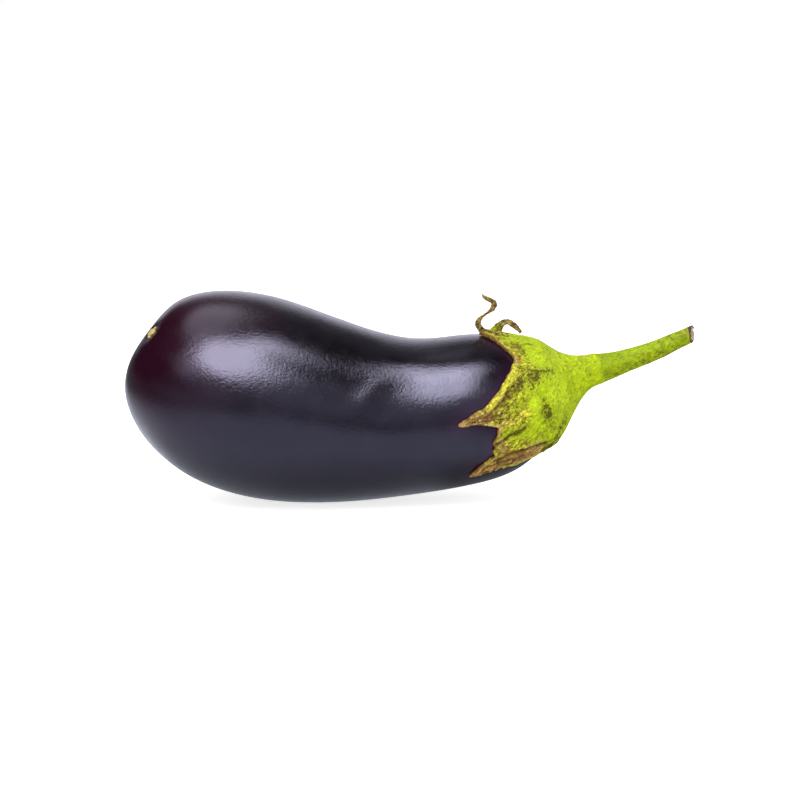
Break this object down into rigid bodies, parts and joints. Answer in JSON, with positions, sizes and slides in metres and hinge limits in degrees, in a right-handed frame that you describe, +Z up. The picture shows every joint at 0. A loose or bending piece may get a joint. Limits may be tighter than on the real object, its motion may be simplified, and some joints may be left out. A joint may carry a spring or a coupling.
{
  "type": "eggplant",
  "caption": "Whole glossy dark purple eggplant lying on its belly, with a green calyx, curled dry sepal tips and a short stem.",
  "frame": {"origin": "middle of the bounding box's underside, on the surface that the eggplant lies on", "axes": "+X along the eggplant from the blossom end to the stem, +Y to the side away from the sepal cluster's best side, +Z up"},
  "size_m": [0.2394, 0.0908, 0.0882],
  "materials": {
    "skin": "waxy, glossy, almost black purple skin with a fine pebbled surface",
    "calyx_leaf": "leathery green, mottled olive and brown, with tan dried margins",
    "stem_green": "satin green with fine lengthwise ribs and a brown dried cut end",
    "cork": "dry, cracked tan cork"
  },
  "bodies": {
    "root": {"fruit": "skin", "calyx": "calyx_leaf", "stem": "stem_green", "blossom_scar": "cork"}
  },
  "joints": []
}
